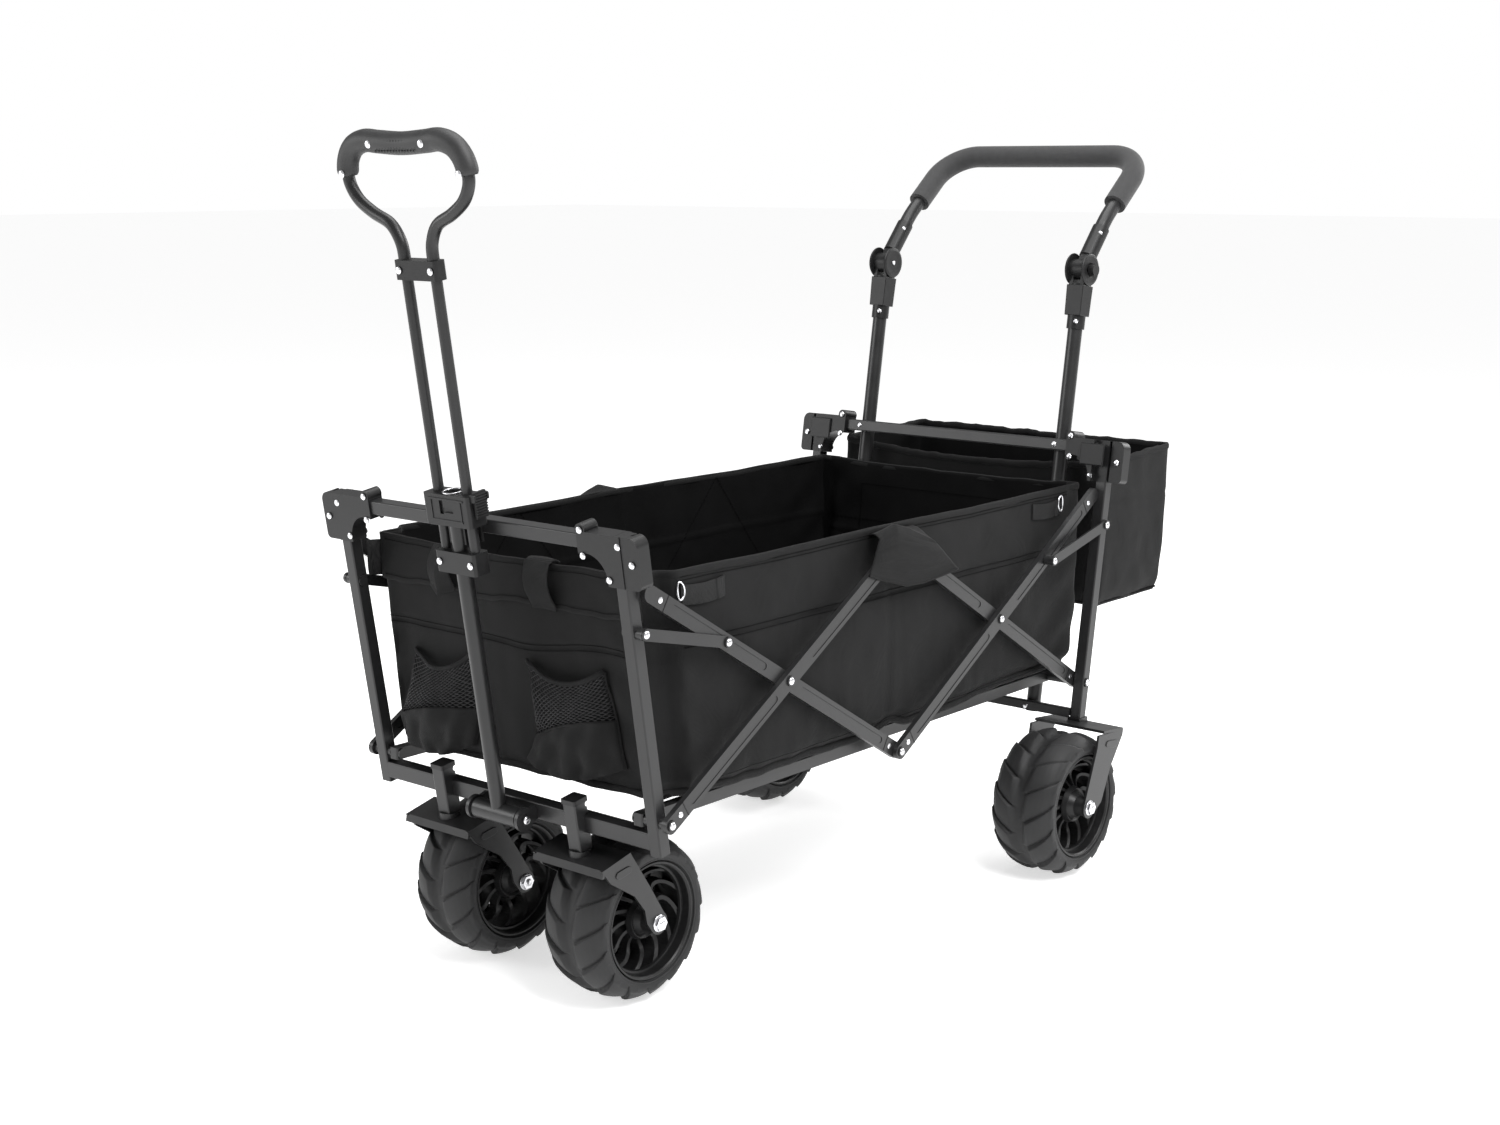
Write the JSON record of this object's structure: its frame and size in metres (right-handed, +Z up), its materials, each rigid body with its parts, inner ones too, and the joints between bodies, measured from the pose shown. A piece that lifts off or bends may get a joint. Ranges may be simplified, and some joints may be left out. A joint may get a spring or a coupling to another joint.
{
  "type": "folding camp wagon",
  "caption": "Folding fabric camp wagon on scissor side frames, with swivelling front wheels, telescopic pull handle, push hoop and a basket behind.",
  "frame": {"origin": "on the ground under the middle of the open wagon", "axes": "+Z up, +Y towards the push handle and rear basket, +X towards the wagon's right-hand side"},
  "size_m": [0.6615, 1.3209, 1.0173],
  "materials": {
    "frame_paint": "satin",
    "black_plastic": "matte",
    "bright_steel": "brushed",
    "tyre_rubber": "matte",
    "foam": "matte",
    "grip_rubber": "matte",
    "tub_fabric": "woven"
  },
  "bodies": {
    "front_frame": {"front_frame_tubes": "frame_paint", "front_top_crossbar": "frame_paint", "front_connector_right": "black_plastic", "front_connector_left": "black_plastic", "front_fasteners": "bright_steel", "stem_caps": "black_plastic", "handle_dock": "black_plastic", "handle_hub_bracket": "frame_paint", "tub": "tub_fabric"},
    "caster_right": {"caster_fork_right": "frame_paint", "front_axle_right": "bright_steel"},
    "caster_left": {"caster_fork_left": "frame_paint", "front_axle_left": "bright_steel"},
    "wheel_front_right": {"tyre_front_right": "tyre_rubber", "rim_front_right": "black_plastic"},
    "wheel_front_left": {"tyre_front_left": "tyre_rubber", "rim_front_left": "black_plastic"},
    "wheel_rear_right": {"tyre_rear_right": "tyre_rubber", "rim_rear_right": "black_plastic"},
    "wheel_rear_left": {"tyre_rear_left": "tyre_rubber", "rim_rear_left": "black_plastic"},
    "scissor_a2": {"scissor_front_rising_right": "frame_paint", "scissor_front_rising_left": "frame_paint", "scissor_front_rising_pins": "bright_steel"},
    "scissor_a1": {"scissor_front_falling_right": "frame_paint", "scissor_front_falling_left": "frame_paint", "scissor_front_falling_pins": "bright_steel"},
    "scissor_b2": {"scissor_rear_rising_right": "frame_paint", "scissor_rear_rising_left": "frame_paint", "scissor_rear_rising_pins": "bright_steel"},
    "scissor_b1": {"scissor_rear_falling_right": "frame_paint", "scissor_rear_falling_left": "frame_paint"},
    "rear_frame": {"rear_frame_tubes": "frame_paint", "rear_top_crossbar": "frame_paint", "rear_connector_right": "black_plastic", "rear_connector_left": "black_plastic", "rear_fasteners": "bright_steel", "push_lower_tubes": "frame_paint", "push_joint_lower_right": "black_plastic", "push_joint_lower_left": "black_plastic", "rear_fork_right": "frame_paint", "rear_fork_left": "frame_paint", "rear_axles": "bright_steel", "rear_basket": "tub_fabric"},
    "front_link": {"front_links": "frame_paint"},
    "rear_link": {"rear_links": "frame_paint"},
    "floor_front": {"floor_bars_front": "frame_paint"},
    "floor_rear": {"floor_bars_rear": "frame_paint"},
    "pull_handle": {"pull_centre_tube": "frame_paint", "pull_upper_collar": "black_plastic"},
    "pull_slide": {"pull_rods": "frame_paint", "pull_lower_collar": "black_plastic", "pull_clamp": "black_plastic", "pull_grip": "grip_rubber"},
    "pull_lock": {"lock_lever": "black_plastic"},
    "push_handle": {"push_hoop": "frame_paint", "push_foam_grip": "foam", "push_joint_upper_right": "black_plastic", "push_joint_upper_left": "black_plastic"},
    "push_lock": {"push_button": "black_plastic"}
  },
  "joints": [
    {"name": "fold", "type": "hinge", "parent": "front_frame", "child": "scissor_a2", "pos_m": [0, -0.43705, 0.257], "axis": [1, 0, 0], "range_deg": [0, 61], "deforming": ["tub"]},
    {"name": "front_crossing", "type": "hinge", "parent": "scissor_a2", "child": "scissor_a1", "pos_m": [0, -0.22589, 0.38418], "axis": [1, 0, 0], "range_deg": [-108.01, 0.01]},
    {"name": "lower_middle", "type": "hinge", "parent": "scissor_a1", "child": "scissor_b2", "pos_m": [0, 0, 0.24813], "axis": [1, 0, 0], "range_deg": [-0.01, 108.01]},
    {"name": "rear_crossing", "type": "hinge", "parent": "scissor_b2", "child": "scissor_b1", "pos_m": [0, 0.22589, 0.38418], "axis": [1, 0, 0], "range_deg": [-108.01, 0.01]},
    {"name": "rear_lower", "type": "hinge", "parent": "scissor_b1", "child": "rear_frame", "pos_m": [0, 0.43705, 0.257], "axis": [1, 0, 0], "range_deg": [-0.01, 61.01]},
    {"name": "front_link_turn", "type": "hinge", "parent": "front_frame", "child": "front_link", "pos_m": [0, -0.47272, 0.48219], "axis": [1, 0, 0], "range_deg": [-0.01, 103.05]},
    {"name": "rear_link_turn", "type": "hinge", "parent": "rear_frame", "child": "rear_link", "pos_m": [0, 0.47272, 0.48219], "axis": [1, 0, 0], "range_deg": [-103.05, 0.01]},
    {"name": "front_floor_turn", "type": "hinge", "parent": "front_frame", "child": "floor_front", "pos_m": [0, -0.43705, 0.257], "axis": [1, 0, 0], "range_deg": [-0.01, 91.21]},
    {"name": "rear_floor_turn", "type": "hinge", "parent": "rear_frame", "child": "floor_rear", "pos_m": [0, 0.43705, 0.257], "axis": [1, 0, 0], "range_deg": [-91.21, 0.01]},
    {"name": "caster_right_swivel", "type": "hinge", "parent": "front_frame", "child": "caster_right", "pos_m": [0.1135, -0.44, 0.203], "axis": [0, 0, 1], "continuous": true},
    {"name": "caster_left_swivel", "type": "hinge", "parent": "front_frame", "child": "caster_left", "pos_m": [-0.1135, -0.44, 0.203], "axis": [0, 0, 1], "continuous": true},
    {"name": "front_right_spin", "type": "hinge", "parent": "caster_right", "child": "wheel_front_right", "pos_m": [0.1135, -0.3665, 0.1016], "axis": [1, 0, 0], "continuous": true},
    {"name": "front_left_spin", "type": "hinge", "parent": "caster_left", "child": "wheel_front_left", "pos_m": [-0.1135, -0.3665, 0.1016], "axis": [1, 0, 0], "continuous": true},
    {"name": "rear_right_spin", "type": "hinge", "parent": "rear_frame", "child": "wheel_rear_right", "pos_m": [0.2685, 0.355, 0.1016], "axis": [1, 0, 0], "continuous": true},
    {"name": "rear_left_spin", "type": "hinge", "parent": "rear_frame", "child": "wheel_rear_left", "pos_m": [-0.2685, 0.355, 0.1016], "axis": [1, 0, 0], "continuous": true},
    {"name": "pull_swing", "type": "hinge", "parent": "front_frame", "child": "pull_handle", "pos_m": [0, -0.4605, 0.226], "axis": [1, 0, 0], "range_deg": [0, 90]},
    {"name": "pull_extend", "type": "slide", "parent": "pull_handle", "child": "pull_slide", "axis": [0, -0.1513, 0.9885], "range_m": [-0.235, 0.005]},
    {"name": "pull_lock_turn", "type": "hinge", "parent": "pull_handle", "child": "pull_lock", "pos_m": [0.041, -0.52055, 0.61843], "axis": [0, -0.9885, -0.1513], "range_deg": [0, 20]},
    {"name": "push_tilt", "type": "hinge", "parent": "rear_frame", "child": "push_handle", "pos_m": [0, 0.54021, 0.83801], "axis": [1, 0, 0], "range_deg": [-80, 30]},
    {"name": "push_lock_press", "type": "slide", "parent": "push_handle", "child": "push_lock", "axis": [-1, 0, 0], "range_m": [0, 0.003]}
  ],
  "couplings": [
    {"joint": "front_crossing", "follows": "fold", "ratio": -1.7705},
    {"joint": "lower_middle", "follows": "fold", "ratio": 1.7705},
    {"joint": "rear_crossing", "follows": "fold", "ratio": -1.7705},
    {"joint": "rear_lower", "follows": "fold", "ratio": 1},
    {"joint": "front_link_turn", "follows": "fold", "ratio": 1.6892},
    {"joint": "rear_link_turn", "follows": "fold", "ratio": -1.6892},
    {"joint": "front_floor_turn", "follows": "fold", "ratio": 1.4951},
    {"joint": "rear_floor_turn", "follows": "fold", "ratio": -1.4951}
  ]
}
